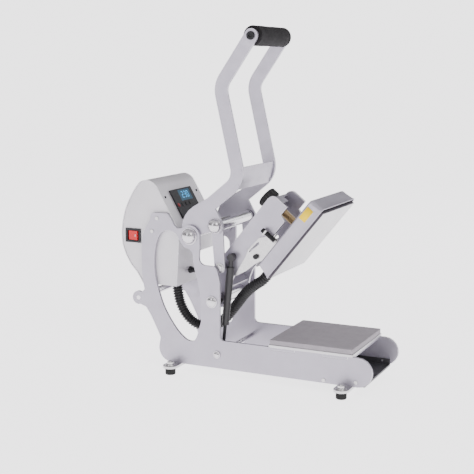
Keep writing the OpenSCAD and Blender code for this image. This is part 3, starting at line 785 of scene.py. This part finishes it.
def build_knob():
    """Fluted hand knob with a dished top and a steel insert."""
    profile = [(radius * MM, height * MM, share) for radius, height, share in KNOB_PROFILE]
    bm = lathe(profile, 10 * KNOB_FLUTES, FLUTE_DEPTH, KNOB_FLUTES)
    place = OPENED @ Matrix.Translation((0, SPINDLE_Y, KNOB_BASE))
    knob = make_piece("hand_knob", bm, KNOB_PLASTIC, "spindle", place)
    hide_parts("pressure_knob")
    insert = lathe(rounded_profile(INSERT_RADIUS, INSERT_HEIGHT, 0.4 * MM, 3), 24)
    raised = place @ Matrix.Translation((0, 0, INSERT_BASE))
    make_piece("knob_insert", insert, ZINC, "spindle", raised)


def build_spindle():
    """Spindle with a rolled helical thread and its thrust collar."""
    bm = bmesh.new()
    top = KNOB_BASE - SPINDLE_BASE
    rings = []
    count = round(top / THREAD_PITCH * RINGS_PER_TURN)
    for n in range(count + 1):
        z = top * n / count
        fade = min(1, z / THREAD_PITCH, (top - z) / THREAD_PITCH)
        ring = []
        for k in range(SPINDLE_SIDES):
            phase = z / THREAD_PITCH - k / SPINDLE_SIDES
            ridge = 0.5 + 0.5 * math.cos(2 * math.pi * phase)
            r = SPINDLE_CORE + (SPINDLE_CREST - SPINDLE_CORE) * ridge * fade
            angle = 2 * math.pi * k / SPINDLE_SIDES
            ring.append((r * math.cos(angle), r * math.sin(angle), z))
        rings.append(ring)
    closed_skin(bm, rings)
    place = OPENED @ Matrix.Translation((0, SPINDLE_Y, SPINDLE_BASE))
    spindle = make_piece("threaded_spindle", bm, BRONZE, "spindle", place)
    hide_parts("pressure_spindle")
    collar = lathe(rounded_profile(COLLAR_RADIUS, COLLAR_HEIGHT, 0.6 * MM, 3), 48)
    raised = place @ Matrix.Translation((0, 0, COLLAR_BASE))
    make_piece("thrust_collar", collar, ZINC, "spindle", raised)


build_knob()
build_spindle()

# ------------------------------------------------------------------ platen cover, pad and label

# The cover in millimetres, with the press closed
COVER_LIP = 82.4
COVER_TOP = 109.0
COVER_U = ((50.0, 205.0), (57.0, 201.5))     # lip and top, front to back
COVER_X = (78.0, 76.0)
COVER_SHEET = 1.4
COVER_BEND = 3.2                             # radius of the upper edge
BEND_STEPS = 6
BEND_FROM = 0.86                             # share of the taper where the upper edge begins
# Share of the taper, height above the lip, inset and corner radius: from the inside of the
# rolled lip, round it, over its bead and up the wall
COVER_WALL = (
    (0, 2.6, COVER_SHEET + 0.3, 4.2), (0, 0.3, COVER_SHEET + 0.1, 4.4), (0, 0, 0.9, 5),
    (0, 0.2, 0.25, 5.4), (0, 0.8, 0.0, 5.6), (0.03, 2.4, 0.0, 5.6), (0.06, 3.0, 0.45, 5.4),
    (0.45, 12, 0.4, 5.4), (BEND_FROM, COVER_TOP - COVER_BEND - COVER_LIP, 0.0, 5.4),
)
PAD_CORNER = 2.5 * MM
PAD_EDGE = 1.0 * MM
LABEL_WIDTH = 16.4 * MM
LABEL_HEIGHT = 24 * MM
LABEL_THICKNESS = 0.15 * MM
LABEL_MIDDLE = (-77.0 * MM, -179 * MM, 97.4 * MM)   # with the press closed


def cover_ring(share, z, inset, radius):
    """One round-cornered outline of the pressed steel cover."""
    u0 = COVER_U[0][0] + (COVER_U[1][0] - COVER_U[0][0]) * share + inset
    u1 = COVER_U[0][1] + (COVER_U[1][1] - COVER_U[0][1]) * share - inset
    half = COVER_X[0] + (COVER_X[1] - COVER_X[0]) * share - inset
    outline = rounded_rectangle(-half * MM, half * MM, -u1 * MM, -u0 * MM, radius * MM)
    return [(x, y, z * MM) for x, y in outline]


def build_cover():
    """Pressed cover: rolled lip, straight tapered walls, softly rounded upper edge, and its inside."""
    rings = [
        cover_ring(share, COVER_LIP + rise, inset, corner)
        for share, rise, inset, corner in COVER_WALL
    ]
    for i in range(1, BEND_STEPS + 1):
        a = math.pi / 2 * i / BEND_STEPS
        share = BEND_FROM + (1 - BEND_FROM) * i / BEND_STEPS
        z = COVER_TOP - COVER_BEND + COVER_BEND * math.sin(a)
        rings.append(cover_ring(share, z, COVER_BEND * (1 - math.cos(a)), 5.2))
    bm = bmesh.new()
    loops = skin(bm, rings)
    bm.faces.new(loops[-1])
    lip = loops[0]
    ceiling = [bm.verts.new(p) for p in cover_ring(1, COVER_TOP - COVER_SHEET, COVER_SHEET, 4)]
    count = len(lip)
    for k in range(count):
        bm.faces.new((lip[k], lip[(k + 1) % count], ceiling[(k + 1) % count], ceiling[k]))
    bm.faces.new(ceiling)
    cover = make_piece("cover_shell", bm, SILVER, "platen", OPENED)
    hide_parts("platen_cover")
    cover.modifiers.new("even_normals", "WEIGHTED_NORMAL").keep_sharp = True


def build_pad():
    """Silicone sponge pad with softly rounded cut edges."""
    low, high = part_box("silicone_pad")
    bm = rounded_slab(low, high, PAD_CORNER, PAD_EDGE)
    pad = make_piece("sponge_pad", bm, SILICONE, "frame")
    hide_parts("silicone_pad")
    pad.modifiers.new("even_normals", "WEIGHTED_NORMAL").keep_sharp = True


def build_label():
    """A blank yellow sticker on the near side wall of the cover."""
    half_w, half_h = LABEL_WIDTH / 2, LABEL_HEIGHT / 2
    outline = rounded_rectangle(-half_w, half_w, -half_h, half_h, 0.8 * MM, 3)
    bm = bmesh.new()
    closed_skin(bm, [[(x, y, z) for x, y in outline] for z in (0, LABEL_THICKNESS)])
    lean = math.atan2(COVER_X[0] - COVER_X[1], COVER_TOP - COVER_LIP)
    place = (
        OPENED
        @ Matrix.Translation(LABEL_MIDDLE)
        @ Matrix.Rotation(-lean, 4, "Y")
        @ Matrix.Rotation(-math.pi / 2, 4, "Y")
    )
    make_piece("blank_label", bm, YELLOW, "platen", place)


build_cover()
build_pad()
build_label()

# ------------------------------------------------------------------ rolled hems of the control box

HEM_X = 67.6                 # millimetres from the middle plane
HEM_RADIUS = 1.05 * MM
HEM_INSET = 0.75 * MM
BOX_MIDDLE = at(0, -178, 240)
BOX_STEP_Z = 199             # millimetres; the right hem ends here, where the box steps in
# The control box's outline, from the front foot over the sloping face and round the back
BOX_CORNERS = [
    (-124.2, 152), (-121, 200), (-118.9, 238), (-122.6, 254.8), (-158.8, 317.6), (-163.5, 324.7),
    (-170.5, 329.8), (-179, 332.2), (-190.9, 330.1), (-198, 324.5), (-206, 314), (-215, 299.5),
    (-225, 278), (-230.5, 256), (-232.5, 236), (-231, 217), (-224.5, 199), (-215, 183),
    (-201, 167.5), (-191.5, 151.7),
]


def build_hems():
    """A rolled bead where the wrapped sheet meets each side panel, made bright with painted highlight.
    """
    right = [p for p in BOX_CORNERS if p[1] >= BOX_STEP_Z]
    for side, name, corners in ((-1, "box_hem_left", BOX_CORNERS), (1, "box_hem_right", right)):
        points = [at(side * HEM_X, u, z) for u, z in corners]
        path, _ = even_path(smooth_path(points, 6), 2.5 * MM)
        pulled = []
        for point in path:
            inward = Vector((0, BOX_MIDDLE.y - point.y, BOX_MIDDLE.z - point.z)).normalized()
            pulled.append(point + HEM_INSET * inward)
        bead = swept(pulled, lambda n: HEM_RADIUS, 10)
        make_piece(name, bead, EDGE_HIGHLIGHT, "frame")


build_hems()

# ------------------------------------------------------------------ display digits and switch mark

INWARD = Vector(joints["set_press"]["axis"]).normalized()
FACE = Matrix.Identity(3)
FACE.col[0] = Vector((1, 0, 0))
FACE.col[1] = (-INWARD).cross(Vector((1, 0, 0)))
FACE.col[2] = -INWARD
# Lit segments: a is the top bar, then clockwise to f, and g is the middle bar
SEGMENTS = {"0": "abcdef", "2": "abged", "3": "abgcd"}
SHOWN = "230"
DIGIT_PITCH = 9 * MM
DIGIT_RISE = 0.6 * MM
DIGIT_WIDTH = 5.0 * MM
DIGIT_HEIGHT = 11.0 * MM
SEGMENT_WIDTH = 1.5 * MM
SEGMENT_DEPTH = 0.12 * MM
DISPLAY_HALF_DEPTH = 0.6 * MM
MARK_HALF_LENGTH = 2.2 * MM
MARK_WIDTH = 0.9 * MM
MARK_DEPTH = 0.15 * MM
MARK_OFFSET = 5 * MM         # from the rocker's middle, forwards
MARK_SUNK = 0.3 * MM


def on_face(node):
    """The middle of a node on the sloping front, with +Z pointing out of the face."""
    low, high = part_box(node)
    centre = (low + high) / 2
    return Matrix.Translation(centre) @ FACE.to_4x4()


def bar(bm, x0, y0, x1, y1, width, depth):
    """One six-sided display segment."""
    a, b = Vector((x0, y0, 0)), Vector((x1, y1, 0))
    along = (b - a).normalized()
    across = Vector((-along.y, along.x, 0)) * width / 2
    tip = along * width / 2
    outline = [a, a + tip + across, b - tip + across, b, b - tip - across, a + tip - across]
    closed_skin(bm, [[p + Vector((0, 0, z)) for p in outline] for z in (0, depth)])


def digit(bm, text, x, y):
    """A seven-segment digit with its middle at (x, y)."""
    w, h = DIGIT_WIDTH / 2, DIGIT_HEIGHT / 2
    ends = {
        "a": (-w, h, w, h), "b": (w, h, w, 0), "c": (w, 0, w, -h), "d": (-w, -h, w, -h),
        "e": (-w, 0, -w, -h), "f": (-w, h, -w, 0), "g": (-w, 0, w, 0),
    }
    for name in SEGMENTS[text]:
        x0, y0, x1, y1 = ends[name]
        bar(bm, x + x0, y + y0, x + x1, y + y1, SEGMENT_WIDTH, SEGMENT_DEPTH)


def build_digits():
    """Three lit digits on the display."""
    bm = bmesh.new()
    for place, text in enumerate(SHOWN):
        digit(bm, text, (place - 1) * DIGIT_PITCH, DIGIT_RISE)
    surface = on_face("display") @ Matrix.Translation((0, 0, DISPLAY_HALF_DEPTH))
    make_piece("display_digits", bm, DIGITS, "frame", surface)


def build_switch_mark():
    """The usual on sign, a single bar, moulded into the rocker."""
    low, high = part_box("rocker_switch")
    centre = (low + high) / 2
    toward_viewer = Matrix.Rotation(-math.pi / 2, 4, "Y")
    upright = Matrix.Rotation(math.pi / 2, 4, "Z")
    bm = bmesh.new()
    bar(bm, 0, -MARK_HALF_LENGTH, 0, MARK_HALF_LENGTH, MARK_WIDTH, MARK_DEPTH)
    middle = Matrix.Translation((low.x + MARK_SUNK, centre.y - MARK_OFFSET, centre.z))
    place = middle @ toward_viewer @ upright
    make_piece("switch_mark", bm, WHITE_MARK, "rocker", place)


build_digits()
build_switch_mark()

add_floor()
